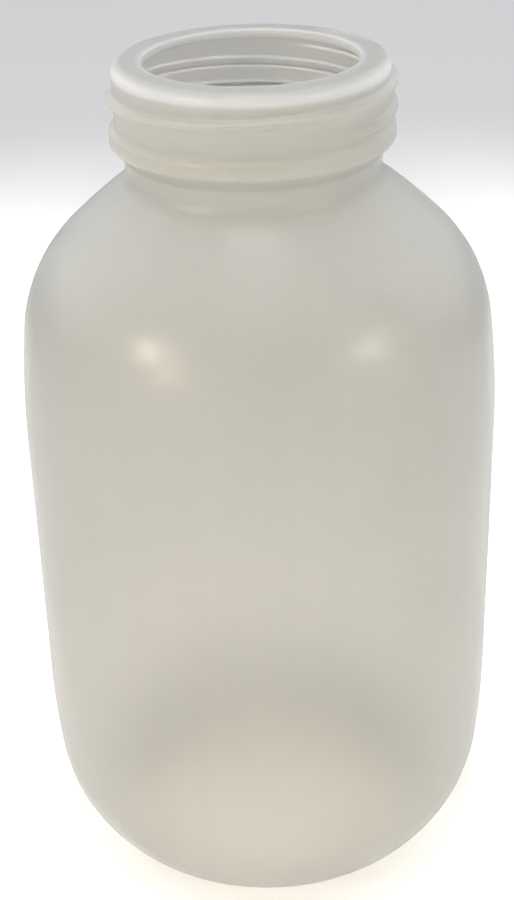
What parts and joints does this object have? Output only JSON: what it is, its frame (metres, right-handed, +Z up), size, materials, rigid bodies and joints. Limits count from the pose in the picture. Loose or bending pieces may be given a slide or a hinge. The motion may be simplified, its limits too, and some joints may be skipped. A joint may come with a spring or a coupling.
{
  "type": "reagent bottle",
  "caption": "Open wide-mouth reagent bottle of milky see-through plastic, with a rounded heel and shoulder, a threaded neck and an inward lip.",
  "frame": {"origin": "on the bottle's axis, in the plane that the foot ring stands on", "axes": "+Z up along the bottle's axis, out of the mouth; +X to the right and +Y to the back as seen from the front"},
  "size_m": [0.123, 0.123, 0.222],
  "materials": {
    "translucent_plastic": "milky translucent polypropylene, fine satin surface"
  },
  "bodies": {
    "root": {"bottle": "translucent_plastic"}
  },
  "joints": []
}
